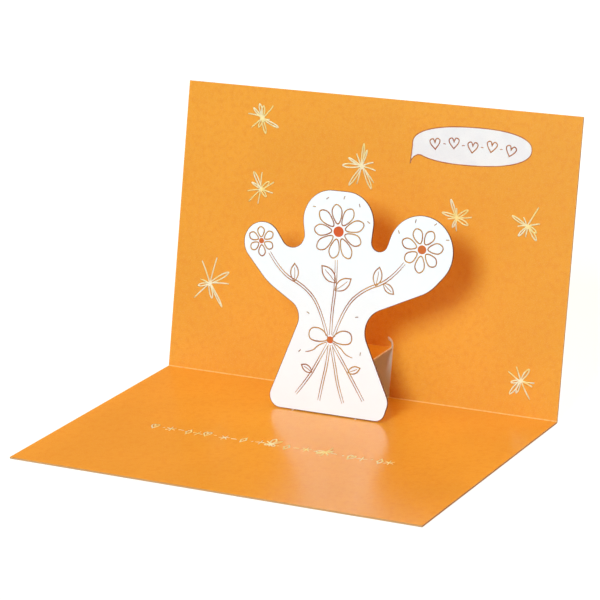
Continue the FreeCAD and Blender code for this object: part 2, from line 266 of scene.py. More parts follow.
class Shader:
    """The nodes of one material, or of the world."""

    def __init__(self, name: str, owner: Optional[bpy.types.ID] = None) -> None:
        """Start with no nodes.

        Args:
            name: the name of the new material.
            owner: a world that takes the nodes in place of a new material.
        """
        self.material = owner or bpy.data.materials.new(name)
        self.material.use_nodes = True
        self.tree = self.material.node_tree
        self.tree.nodes.clear()
        self.coordinates = self.node("ShaderNodeTexCoord")

    def node(
        self, kind: str, settings: Optional[dict[str, Any]] = None,
        values: Optional[dict[Union[str, int], Any]] = None,
    ) -> bpy.types.Node:
        """Add a node.

        Args:
            kind: the node's type.
            settings: its properties, which are set first.
            values: for each socket, by name or place, a link or a plain value.

        Returns:
            The new node.
        """
        made = self.tree.nodes.new(kind)
        for name, setting in (settings or {}).items():
            setattr(made, name, setting)
        for key, value in (values or {}).items():
            source = value.socket if isinstance(value, Signal) else value
            if isinstance(source, bpy.types.NodeSocket):
                self.tree.links.new(source, made.inputs[key])
            else:
                made.inputs[key].default_value = source
        return made

    def spot(self) -> bpy.types.NodeSocket:
        """Give the place on the object, in metres."""
        return self.coordinates.outputs["Object"]

    def parts(self) -> tuple[Signal, Signal, Signal]:
        """Give the place on the object as three numbers."""
        split = self.node("ShaderNodeSeparateXYZ", None, {0: self.spot()})
        across, along, up = (Signal(self, split.outputs[i]) for i in range(3))
        return across, along, up

    def off_crease(self, crease: Vector) -> Signal:
        """Give the distance, in metres, from a crease that runs across the card."""
        along, up = self.parts()[1:]
        return ((along - crease.y) ** 2.0 + (up - crease.z) ** 2.0) ** 0.5

    def facing(self, direction: Vector) -> Signal:
        """Say how far the surface looks towards a direction, as a cosine."""
        node = self.node(
            "ShaderNodeVectorMath", {"operation": "DOT_PRODUCT"},
            {0: self.coordinates.outputs["Normal"], 1: tuple(direction)},
        )
        return Signal(self, node.outputs["Value"])

    def noise(self, feature: float, detail: float = 2.0, stretch: Point = (1.0, 1.0)) -> Signal:
        """Make soft noise.

        Args:
            feature: the size of its patches, in millimetres.
            detail: how many finer layers it has.
            stretch: how much longer the patches are across and along.

        Returns:
            The noise, about 0.5 in the middle.
        """
        scale = (1.0 / stretch[0], 1.0 / stretch[1], 1.0)
        spot = self.node("ShaderNodeMapping", None, {"Vector": self.spot(), "Scale": scale})
        node = self.node(
            "ShaderNodeTexNoise", None,
            {"Vector": spot.outputs[0], "Scale": 1.0 / (feature * MM), "Detail": detail},
        )
        return Signal(self, node.outputs[0])

    def mix(self, share: Value, first: Any, second: Any) -> bpy.types.NodeSocket:
        """Mix two colours; a share of 1 is all second."""
        node = self.node("ShaderNodeMix", {"data_type": "RGBA"}, {0: share, 6: first, 7: second})
        return node.outputs[2]

    def bump(self, height: Signal, depth: float) -> bpy.types.NodeSocket:
        """Raise the surface by a height of 0 to 1 times a depth in millimetres."""
        node = self.node("ShaderNodeBump", None, {"Distance": depth * MM, "Height": height})
        return node.outputs[0]

    def close(self, surface: bpy.types.Node, output: str = "ShaderNodeOutputMaterial") -> None:
        """Send a node's surface to an output of the given type."""
        self.node(output, None, {"Surface": surface.outputs[0]})

    def finish(self, values: dict[str, Any]) -> bpy.types.Material:
        """Close the material with a Principled surface.

        Args:
            values: what its sockets get.

        Returns:
            The material.
        """
        self.close(self.node("ShaderNodeBsdfPrincipled", None, values))
        return self.material


# ---------------------------------------------------------------- finishes


@dataclass(frozen=True)
class PrintedCard:
    """Satin coated card, flooded with ink on its face and white elsewhere.

    Args:
        ink: the printed colour.
        dense: the printed colour where the ink lies thick.
        paper: the colour of the unprinted rear.
        core: the colour of the cut edges.
        cut_white_and_highlight: the colour beside the slits, where the white card of the cut
            shows, with a painted highlight.
        cracked_and_highlight: the colour where the ink is worn or broken, and of the painted
            highlight along the creases.
        gloss: the roughness of the print.
        ior: its index of refraction.
        relief: the depth of its fibres, in millimetres.
        mottle_share: how much of the thick ink shows in its mottle, 0 to 1.
        fleck_share: how much of the worn ink shows in its flecks, 0 to 1.
        fold_reach: how far the fold's crack and painted highlight reach, in millimetres.
        ridge_reach: how far the crack and painted highlight on the step's upper edge reach, in
            millimetres.
        edge_wear: where the wear at the sheet's edge is whole and where it ends, in metres.
        slit_line: how far white shows on each side of a slit, in metres.
        curl_line: how far it shows on each side of the slit's curl, in metres.
        slit_fade: over what length that white fades, in metres.
        slit_overrun: how far the white runs past the foot of the step, in metres.
    """

    ink: Colour = tint(243, 159, 50)
    dense: Colour = tint(236, 142, 40)
    paper: Colour = tint(238, 235, 229)
    core: Colour = tint(214, 150, 84)
    cut_white_and_highlight: Colour = tint(255, 240, 226)
    cracked_and_highlight: Colour = tint(255, 212, 140)
    gloss: float = 0.215
    ior: float = 1.7
    relief: float = 0.0025
    mottle_share: float = 0.5
    fleck_share: float = 0.16
    fold_reach: float = 0.34
    ridge_reach: float = 0.26
    edge_wear: Point = (0.02 * MM, 0.22 * MM)
    slit_line: float = 0.2 * MM
    curl_line: float = 0.15 * MM
    slit_fade: float = 0.3 * MM
    slit_overrun: float = 0.8 * MM

    def make(self, shape: CardShape) -> bpy.types.Material:
        """Make the material for the printed sheet.

        Args:
            shape: where the sheet's creases and edges are.

        Returns:
            The material.
        """
        shader = Shader("printed_card")
        across, along = shader.parts()[:2]
        facing = shader.facing(shape.printed_side)
        printed = facing > FACE_COSINE
        flat = facing.size() > FACE_COSINE

        drift = shader.noise(feature=38.0, detail=1.0)
        mottle = shader.noise(feature=1.6, detail=3.0)
        fleck = shader.noise(feature=0.28)
        ink = shader.mix(drift.rising(0.35, 0.65), scaled(self.ink, 0.975), scaled(self.ink, 1.02))
        ink = shader.mix(mottle.rising(0.4, 0.75) * self.mottle_share, ink, self.dense)
        ink = shader.mix(fleck.rising(0.45, 0.75) * self.fleck_share, ink, self.cracked_and_highlight)

        # Painted highlight, partly real cracked ink: a pale broken line along the fold and along
        # the step's upper crease.
        crease = self._near(shader, shape.fold, self.fold_reach)
        ridge = shape.step_foot + shape.up_the_back * shape.step_height
        step_edge = self._near(shader, ridge, self.ridge_reach)
        broken = shader.noise(feature=0.9).rising(0.3, 0.55)
        crack_and_highlight = (crease * 0.8 + step_edge * 0.5) * (0.45 + 0.55 * broken)
        ink = shader.mix(crack_and_highlight.within(), ink, self.cracked_and_highlight)

        side = shape.width / 2.0 - across.size()
        front = along + shape.depth / 2.0
        worn = 1.0 - side.least(front).rising(*self.edge_wear)
        ink = shader.mix(worn * broken * 0.5, ink, self.cracked_and_highlight)

        fibre = shader.noise(feature=0.5, detail=3.0, stretch=(3.0, 1.0))
        bare = shader.mix(fibre, scaled(self.paper, 0.96), self.paper)
        bare = shader.mix(flat, scaled(self.core, 0.97), bare)
        colour = shader.mix(printed, bare, ink)
        # Painted highlight, partly the real white of the cut: a pale band beside the slits and
        # their curled ends.
        slit = self._beside_slits(shader, shape) * (0.6 + 0.4 * broken)
        colour = shader.mix(slit.within(), colour, self.cut_white_and_highlight)
        rough = printed * (self.gloss + 0.05 * mottle + 0.3 * crack_and_highlight) + (1.0 - printed) * 0.8
        height = printed * (0.35 * fibre + 0.2 * fleck) + (1.0 - printed) * (1.6 * fibre)
        return shader.finish({
            "Base Color": colour,
            "Roughness": rough.within(),
            "Normal": shader.bump(height, self.relief),
            "IOR": self.ior,
        })

    def _beside_slits(self, shader: Shader, shape: CardShape) -> Signal:
        """Find the edges of the two slits, where white card shows at the cut and a painted
        highlight lies.

        Args:
            shader: the shader that asks.
            shape: where the slits are.

        Returns:
            A value of 1 along the slits and their curled ends, and 0 elsewhere.
        """
        across, along, up = shader.parts()
        aside = (across - shape.step_middle).size()
        half = shape.step_width / 2.0
        sine, cosine = shape.up_the_back.yz
        rise = (along - shape.fold.y) * sine + (up - shape.fold.z) * cosine - shape.slit_end
        straight = 1.0 - ((aside - half).size() - self.slit_line) / self.slit_fade
        straight = straight.within() * (along > shape.step_foot.y - self.slit_overrun)
        straight = straight * (1.0 - (rise > 0.0))
        from_curl = ((aside - (half - shape.slit_curl)) ** 2.0 + rise ** 2.0) ** 0.5
        curl = 1.0 - ((from_curl - shape.slit_curl).size() - self.curl_line) / self.slit_fade
        curl = curl.within() * (rise > 0.0) * (along > shape.fold.y)
        curl = curl * (aside > half - shape.slit_curl * 0.75)
        return straight.most(curl)

    def _near(self, shader: Shader, crease: Vector, reach: float) -> Signal:
        """Give 1 on a crease across the card, fading to 0 over a reach in millimetres."""
        return (1.0 - shader.off_crease(crease) / (reach * MM)).within()


@dataclass(frozen=True)
class WhiteCard:
    """White card, with fibres, specks, painted shade along its outer spine and cut edges of
    another colour.

    Args:
        name: the material's name.
        white: the colour of its faces.
        core: the colour of its cut edges.
        gloss: the roughness of its faces.
        relief: the depth of its fibres, in millimetres.
    """

    name: str
    white: Colour
    core: Colour
    gloss: float
    relief: float

    def make(self, shape: CardShape) -> bpy.types.Material:
        """Make the material.

        Args:
            shape: where the card's fold is.

        Returns:
            The material.
        """
        shader = Shader(self.name)
        face = shader.facing(shape.printed_side).size() > FACE_COSINE
        fibre = shader.noise(feature=0.45, detail=4.0, stretch=(2.5, 1.0))
        cloud = shader.noise(feature=9.0)
        speck = shader.noise(feature=0.7, detail=1.0)
        white = shader.mix(cloud.rising(0.3, 0.7) * 0.6, self.white, scaled(self.white, 0.975))
        white = shader.mix(fibre.rising(0.5, 0.8) * 0.35, white, scaled(self.white, 0.95))
        white = shader.mix(speck.rising(0.74, 0.8) * 0.3, white, scaled(self.white, 0.86))
        # Painted shade: a darker grey along the outer spine, broken up by the fibres.
        spine = shape.fold - Vector((0.0, 0.0, shape.face_up))
        spine_shade = 1.0 - shader.off_crease(spine).rising(0.2 * MM, 1.1 * MM)
        white = shader.mix(spine_shade * fibre * 0.4, white, scaled(self.white, 0.82))
        colour = shader.mix(face, self.core, white)
        rough = face * (self.gloss + 0.08 * fibre) + (1.0 - face) * 0.9
        return shader.finish({
            "Base Color": colour,
            "Roughness": rough.within(),
            "Normal": shader.bump(fibre + 0.3 * cloud, self.relief),
            "IOR": CARD_IOR,
        })


@dataclass(frozen=True)
class Ink:
    """Ink printed on the card, with the small unevenness of a pen drawing.

    Args:
        name: the material's name.
        colour: its colour.
        faded: its colour where the pen ran lighter.
        gloss: its roughness.
        grain: how much its fine grain darkens it, 0 to 1.
        relief: the depth of that grain, in millimetres.
    """

    name: str
    colour: Colour
    faded: Colour
    gloss: float = 0.34
    grain: float = 0.3
    relief: float = 0.002

    def make(self) -> bpy.types.Material:
        """Make the material."""
        shader = Shader(self.name)
        stroke = shader.noise(feature=6.5, detail=3.0)
        grain = shader.noise(feature=0.25, detail=1.0)
        colour = shader.mix(stroke.rising(0.4, 0.62), self.colour, self.faded)
        dark = scaled(self.colour, 0.84)
        colour = shader.mix(grain.rising(0.5, 0.75) * self.grain, colour, dark)
        return shader.finish({
            "Base Color": colour,
            "Roughness": self.gloss + 0.1 * stroke,
            "Normal": shader.bump(grain, self.relief),
            "IOR": CARD_IOR,
        })


# ---------------------------------------------------------------- drawing on the card


@dataclass(frozen=True)
class Stroke:
    """A pen stroke or a filled shape, in millimetres on a face.

    Args:
        points: the control points of its smooth line.
        width: the width of the line.
        closed: whether it comes back to its start.
        lift: the share of its width that is left at its two ends.
    """

    points: tuple[Point, ...]
    width: float = 0.5
    closed: bool = False
    lift: float = 0.55

    def moved(self, across: float, up: float, turn: float = 0.0, size: float = 1.0) -> "Stroke":
        """Copy the stroke to another place, with its line as wide as before.

        Args:
            across: how far it moves across the face.
            up: how far it moves up the face.
            turn: the angle by which it turns first, in degrees.
            size: the factor by which it grows first.

        Returns:
            The copy.
        """
        cos, sin = math.cos(math.radians(turn)), math.sin(math.radians(turn))
        points = tuple(
            (across + size * (x * cos - y * sin), up + size * (x * sin + y * cos))
            for x, y in self.points
        )
        return Stroke(points, self.width, self.closed, self.lift)


def petal(reach: float, spread: float, start: float, width: float) -> Stroke:
    """Draw a narrow loop that points up.

    Args:
        reach: how far its tip is from the middle.
        spread: half its width.
        start: how far from the middle it begins.
        width: the width of the line.

    Returns:
        The loop as a stroke.
    """
    span = reach - start
    points = (
        (0.0, start), (spread * 0.7, start + span * 0.3), (spread * 1.1, start + span * 0.75),
        (spread * 0.35, reach * 1.03), (-spread * 0.35, reach * 1.03),
        (-spread * 1.1, start + span * 0.75), (-spread * 0.7, start + span * 0.3),
    )
    return Stroke(points, width, closed=True)


def leaf(reach: float, spread: float, width: float) -> tuple[Stroke, Stroke]:
    """Draw a pointed leaf that points up from its stalk.

    Args:
        reach: its length.
        spread: half its width.
        width: the width of the line.

    Returns:
        Its outline and its midrib.
    """
    outline = (
        (0.0, 0.0), (spread, reach * 0.25), (spread, reach * 0.7), (0.0, reach), (0.0, reach),
        (-spread, reach * 0.7), (-spread, reach * 0.25), (0.0, 0.0),
    )
    rib = ((0.0, 0.0), (spread * 0.15, reach * 0.45), (0.0, reach * 0.78))
    return Stroke(outline, width), Stroke(rib, width * 0.8)


def heart(size: float, width: float) -> Stroke:
    """Draw a heart of a given half width round its own middle."""
    points = (
        (0.0, -size), (size * 0.9, -size * 0.05), (size * 1.15, size * 0.75),
        (size * 0.35, size * 1.15), (0.0, size * 0.3), (0.0, size * 0.3),
        (-size * 0.35, size * 1.15), (-size * 1.15, size * 0.75), (-size * 0.9, -size * 0.05),
        (0.0, -size),
    )
    return Stroke(points, width, closed=True)


def raise_grown(shapes: bmesh.types.BMesh, grown: dict[str, Any], height: float) -> None:
    """Move the vertices that an extrusion made up by a height in metres."""
    lifted = [item for item in grown["geom"] if isinstance(item, bmesh.types.BMVert)]
    bmesh.ops.translate(shapes, vec=(0.0, 0.0, height), verts=lifted)


def thicken(shapes: bmesh.types.BMesh) -> None:
    """Give flat shapes the thickness of their ink.

    Args:
        shapes: the flat shapes, in metres. They are changed.
    """
    grown = bmesh.ops.extrude_face_region(shapes, geom=shapes.faces[:], use_keep_orig=True)
    raise_grown(shapes, grown, INK_RISE * MM)
    bmesh.ops.recalc_face_normals(shapes, faces=shapes.faces)


def add_object(name: str, data: bpy.types.ID) -> bpy.types.Object:
    """Put an object with this data into the scene.

    Args:
        name: the object's name.
        data: its mesh, lamp or camera.

    Returns:
        The object.
    """
    made = bpy.data.objects.new(name, data)
    bpy.context.scene.collection.objects.link(made)
    return made


def make_object(
    name: str, shapes: bmesh.types.BMesh, materials: Sequence[bpy.types.Material]
) -> bpy.types.Object:
    """Make an object of shapes.

    Args:
        name: the object's name.
        shapes: the shapes, in metres. They are used up.
        materials: their materials.

    Returns:
        The new object.
    """
    mesh = bpy.data.meshes.new(name)
    shapes.to_mesh(mesh)
    shapes.free()
    for material in materials:
        mesh.materials.append(material)
    return add_object(name, mesh)


def show(
    name: str, shapes: bmesh.types.BMesh, face: Face, materials: Sequence[bpy.types.Material],
) -> bpy.types.Object:
    """Lay flat shapes on a face and make a piece of them.

    Args:
        name: the piece's name.
        shapes: the flat shapes, in metres in the face's own plane. They are used up.
        face: the face that they lie on.
        materials: their materials.

    Returns:
        The new object.
    """
    bmesh.ops.transform(shapes, matrix=face.place(), verts=shapes.verts)
    piece = make_object(name, shapes, materials)
    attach(piece, "root")
    LOG.info("%s: %d faces", name, len(piece.data.polygons))
    return piece


class Drawing:
    """Everything that is printed with one ink on one face, made as one piece.

    PEN is the radius, in millimetres, of a pen of width 1, and MEAN that of the usual pen.
    """

    PEN = 0.5
    MEAN = 0.25

    def __init__(self, name: str, face: Face, slot: Slot, over: float = 0.0) -> None:
        """Start an empty drawing.

        Args:
            name: the piece's name.
            face: the face that it is printed on.
            slot: the material slot of the sheet that carries it; not used.
            over: the thickness of the ink below it, in millimetres.
        """
        self.name = name
        self.face = face
        self.slot = slot
        self.over = over
        self.lines: list[Stroke] = []
        self.fills: list[Stroke] = []

    def make(self, ink: bpy.types.Material) -> bpy.types.Object:
        """Build the piece and lay it on its face.

        Args:
            ink: its material.

        Returns:
            The piece.
        """
        shapes = bmesh.new()
        for strokes, filled in ((self.lines, False), (self.fills, True)):
            if strokes:
                mesh = self._mesh(strokes, filled)
                shapes.from_mesh(mesh)
                bpy.data.meshes.remove(mesh)
        bmesh.ops.remove_doubles(shapes, verts=shapes.verts, dist=MERGE_DISTANCE)
        bmesh.ops.recalc_face_normals(shapes, faces=shapes.faces)
        bmesh.ops.translate(shapes, vec=(0.0, 0.0, self.over * MM), verts=shapes.verts)
        return show(self.name, shapes, self.face, [ink])

    def _mesh(self, strokes: Sequence[Stroke], filled: bool) -> bpy.types.Mesh:
        """Turn strokes into a mesh in the drawing's own plane.

        Args:
            strokes: the strokes.
            filled: whether they are filled shapes, not lines.

        Returns:
            The mesh, as thick as the ink.
        """
        curve = bpy.data.curves.new(f"{self.name}_pen", "CURVE")
        curve.dimensions = "2D"
        curve.resolution_u = 5
        curve.fill_mode = "BOTH" if filled else "NONE"
        if filled:
            curve.extrude = INK_RISE * MM
        else:
            curve.bevel_depth = self.PEN * MM
            curve.bevel_resolution = 0
            curve.use_fill_caps = True
        for stroke in strokes:
            self._spline(curve, stroke)
        pen = bpy.data.objects.new(curve.name, curve)
        mesh = bpy.data.meshes.new_from_object(pen)
        bpy.data.objects.remove(pen)
        bpy.data.curves.remove(curve)
        if not filled:
            mesh.transform(Matrix.Diagonal((1.0, 1.0, INK_RISE / self.MEAN, 1.0)))
        return mesh

    def _spline(self, curve: bpy.types.Curve, stroke: Stroke) -> None:
        """Add one stroke to a curve, thinner towards its ends.

        Args:
            curve: the curve.
            stroke: the stroke.
        """
        last = len(stroke.points) - 1
        spline = curve.splines.new("NURBS")
        spline.points.add(last)
        for i, (point, (across, up)) in enumerate(zip(spline.points, stroke.points)):
            point.co = (across * MM, up * MM, 0.0, 1.0)
            end = not stroke.closed and i in (0, last)
            point.radius = stroke.width * (stroke.lift if end else 1.0)
        spline.order_u = 3
        spline.use_endpoint_u = not stroke.closed
        spline.use_cyclic_u = stroke.closed


# ---------------------------------------------------------------- the printed ornaments


@dataclass(frozen=True)
class StarPlan:
    """One hand-drawn star.

    Args:
        across: how far across the face its middle is, in millimetres.
        up: how far up the face it is.
        size: the reach of its longest rays.
        rays: how many it has.
        turn: the angle of the first, in degrees.
        tall: how much longer upright rays are than level ones.
        seed: what sets its small unevenness.

    Its capitals say how the rays vary: how far they fan, how long they are, where they start, how
    many are plain strokes, how far those bow, how wide the loops are and how far all of them sway.
    HUB is the outline of the patch in the middle.
    """

    FAN = 13.0
    REACH = (0.4, 1.05)
    START = (-1.1, 0.1)
    PLAIN = 0.45
    BOW = 0.5
    SPREAD = (0.3, 0.72)
    SWAY = 0.35
    HUB = ((0.75, 0.1), (0.45, 0.8), (-0.3, 1.0), (-0.75, 0.2), (-0.5, -0.7), (0.35, -0.95))

    across: float
    up: float
    size: float
    rays: int
    turn: float
    tall: float = 1.2
    seed: int = 1

    def strokes(self, width: float) -> list[Stroke]:
        """Draw the star's rays: long and short loops, and a plain stroke now and then.

        Args:
            width: the width of the line.

        Returns:
            The rays.
        """
        chance = random.Random(self.seed)
        drawn = []
        for i in range(self.rays):
            angle = self.turn + 360.0 * i / self.rays + chance.uniform(-self.FAN, self.FAN)
            upright = abs(math.cos(math.radians(angle)))
            reach = self.size * chance.uniform(*self.REACH) * (1.0 + (self.tall - 1.0) * upright)
            start = chance.uniform(*self.START)
            if chance.random() < self.PLAIN:
                bow = chance.uniform(-self.BOW, self.BOW)
                points = ((0.0, start), (bow, reach * 0.5), (0.0, reach))
                ray = Stroke(points, width * 1.2, lift=0.7)
            else:
                ray = petal(reach, chance.uniform(*self.SPREAD), start, width)
            sway = chance.uniform(-self.SWAY, self.SWAY)
            drawn.append(ray.moved(self.across + sway, self.up + sway * 0.6, angle))
        return drawn

    def hub(self) -> Stroke:
        """Draw the small patch in the middle, where the rays run together."""
        return Stroke(self.HUB, closed=True).moved(self.across, self.up, 40.0 * self.seed)


@dataclass
class BackStars:
    """The seven stars scattered over the back panel."""

    width: float = 0.54
    plans: tuple[StarPlan, ...] = (
        StarPlan(-44.2, 89.4, 6.6, 10, 20.0, 0.95, 11),
        StarPlan(-42.5, 65.0, 5.8, 10, 2.0, 1.25, 12),
        StarPlan(-4.7, 76.5, 7.4, 11, 4.0, 1.2, 13),
        StarPlan(32.0, 62.9, 6.6, 9, 34.0, 1.1, 14),
        StarPlan(57.6, 62.6, 6.2, 9, 12.0, 1.35, 15),
        StarPlan(59.9, 11.7, 5.8, 10, 28.0, 1.2, 16),
        StarPlan(-60.1, 30.5, 7.4, 9, 26.0, 1.25, 17),
    )

    def build(self, face: Face, ink: bpy.types.Material) -> bpy.types.Object:
        """Draw the stars as one piece.

        Args:
            face: the face that they are printed on.
            ink: their material.

        Returns:
            The piece.
        """
        drawing = Drawing("back_stars", face, Slot.INNER_SHEET)
        for plan in self.plans:
            drawing.lines += plan.strokes(self.width)
            drawing.fills.append(plan.hub())
        return drawing.make(ink)


@dataclass
class Bubble:
    """The white speech bubble on the back panel, with a row of small hearts in it."""

    across: float = 35.2
    up: float = 86.8
    half_width: float = 21.9
    half_height: float = 6.5
    roundness: float = 2.35
    slant: float = 0.55
    rim: float = 0.34
    tail: Point = (12.9, 78.3)
    tail_from: float = 186.0
    tail_middle: float = 196.0
    tail_to: float = 214.0
    hearts: int = 5
    heart_size: float = 1.75
    first_heart: float = -13.4
    heart_pitch: float = 6.9
    pen: float = 0.4

    def build(
        self, face: Face, white: bpy.types.Material, line: bpy.types.Material
    ) -> list[bpy.types.Object]:
        """Make the bubble with its drawn rim, and the hearts.

        Args:
            face: the face that it is printed on.
            white: its material.
            line: the material of its rim and hearts.

        Returns:
            The bubble and the hearts.
        """
        shapes = bmesh.new()
        bmesh.ops.create_circle(shapes, cap_ends=True, segments=80, radius=1.0)
        for vertex in shapes.verts:
            vertex.co = self._outline(vertex.co)
        shapes.normal_update()
        rim = bmesh.ops.inset_individual(
            shapes, faces=shapes.faces, thickness=self.rim * MM, use_even_offset=True
        )
        for ring in rim["faces"]:
            ring.material_index = 1
        thicken(shapes)
        bubble = show("bubble", shapes, face, [white, line])

        drawing = Drawing("bubble_hearts", face, Slot.INNER_SHEET, over=INK_RISE)
        for i in range(self.hearts):
            across = self.across + self.first_heart + self.heart_pitch * i
            sway = 0.5 if i % 2 else -0.3
            shape = heart(self.heart_size, self.pen)
            drawing.lines.append(shape.moved(across, self.up + sway, 8.0 - 5.0 * i))
            if i + 1 < self.hearts:
                dash = Stroke(((-0.5, 0.0), (0.0, 0.15), (0.5, 0.0)), self.pen)
                middle = across + self.heart_pitch / 2.0
                drawing.lines.append(dash.moved(middle, self.up, 12.0 * sway))
        return [bubble, drawing.make(line)]

    def _outline(self, unit: Vector) -> Vector:
        """Move a point of the unit circle onto the bubble's outline.

        Args:
            unit: the point.

        Returns:
            Its place on the face, in metres.
        """
        angle = math.atan2(unit.y, unit.x)
        power = 2.0 / self.roundness
        across = math.copysign(abs(math.cos(angle)) ** power, math.cos(angle))
        up = math.copysign(abs(math.sin(angle)) ** power, math.sin(angle))
        place = Vector((
            self.across + self.half_width * across,
            self.up + self.half_height * up + self.slant * across,
            0.0,
        ))
        turned = math.degrees(angle) % 360.0
        if self.tail_from < turned < self.tail_to:
            share = 1.0 - abs(turned - self.tail_middle) / (self.tail_to - self.tail_middle)
            place = place.lerp(Vector((*self.tail, 0.0)), max(0.0, share) ** 1.3)
        return place * MM


class Mark(Enum):
    """The small ornaments in the row on the base."""

    DASH = "dash"
    HEART = "heart"
    DIAMOND = "diamond"
    DOT = "dot"
    PLUS = "plus"
    TWINKLE = "twinkle"
    STAR = "star"


@dataclass
class BaseRow:
    """A row of small pale ornaments across the base."""

    first: float = -46.0
    last: float = 41.0
    along: float = -6.2
    width: float = 0.62
    size: float = 1.15
    tall: float = 1.5
    star_size: float = 2.7
    star_rays: int = 8
    drift: Point = (0.3, 0.4)
    tilt: float = 12.0
    seed: int = 5
    marks: tuple[Mark, ...] = (
        Mark.HEART, Mark.DOT, Mark.TWINKLE, Mark.DASH, Mark.DIAMOND, Mark.PLUS, Mark.HEART,
        Mark.DOT, Mark.TWINKLE, Mark.DASH, Mark.DIAMOND, Mark.DOT, Mark.PLUS, Mark.STAR,
        Mark.DOT, Mark.DIAMOND, Mark.DASH, Mark.TWINKLE, Mark.DOT, Mark.STAR, Mark.DASH,
        Mark.DOT, Mark.HEART, Mark.PLUS, Mark.DOT, Mark.DIAMOND, Mark.TWINKLE,
    )

    def build(self, face: Face, ink: bpy.types.Material) -> bpy.types.Object:
        """Draw the row as one piece.

        Args:
            face: the face that it is printed on.
            ink: its material.

        Returns:
            The piece.
        """
        chance = random.Random(self.seed)
        drawing = Drawing("base_row", face, Slot.INNER_SHEET)
        step = (self.last - self.first) / (len(self.marks) - 1)
        for i, mark in enumerate(self.marks):
            across = self.first + step * i + chance.uniform(-self.drift[0], self.drift[0])
            up = self.along + chance.uniform(-self.drift[1], self.drift[1])
            turn = chance.uniform(-self.tilt, self.tilt)
            for stroke in self._strokes(mark, i):
                drawing.lines.append(stroke.moved(across, up, turn, self.size))
            if mark is Mark.STAR:
                drawing.fills.append(self._star(across, up, i).hub())
        return drawing.make(ink)

    def _strokes(self, mark: Mark, seed: int) -> list[Stroke]:
        """Draw one ornament round its own middle.

        Args:
            mark: which one.
            seed: what sets a star's unevenness.

        Returns:
            Its strokes.
        """
        if mark is Mark.STAR:
            return self._star(0.0, 0.0, 40 + seed).strokes(self.width)
        if mark is Mark.HEART:
            return [self._drawn(heart(1.0, self.width).points, closed=True)]
        if mark is Mark.DIAMOND:
            corners = ((0.0, -1.1), (0.8, 0.0), (0.0, 1.1), (-0.8, 0.0))
            doubled = tuple(corner for corner in corners for _ in range(2))
            return [self._drawn(doubled, closed=True)]
        arms = {Mark.PLUS: 2, Mark.TWINKLE: 3}.get(mark)
        if arms:
            bar = self._drawn(((0.0, -1.1), (0.1, 0.0), (0.0, 1.1)))
            return [bar.moved(0.0, 0.0, 180.0 * i / arms) for i in range(arms)]
        reach = 0.9 if mark is Mark.DASH else 0.3
        return [self._drawn(((-reach, -0.1), (0.0, 0.1), (reach, 0.1)))]

    def _star(self, across: float, up: float, seed: int) -> StarPlan:
        """Plan one of the row's small stars."""
        return StarPlan(across, up, self.star_size, self.star_rays, 10.0, self.tall, seed)

    def _drawn(self, points: Sequence[Point], closed: bool = False) -> Stroke:
        """Draw a line, stretched along the base."""
        return Stroke(tuple((x, y * self.tall) for x, y in points), self.width, closed)


@dataclass(frozen=True)
class Bloom:
    """One flower of the bouquet."""

    across: float
    up: float
    petals: int
    reach: float
    spread: float
    middle: float
    turn: float


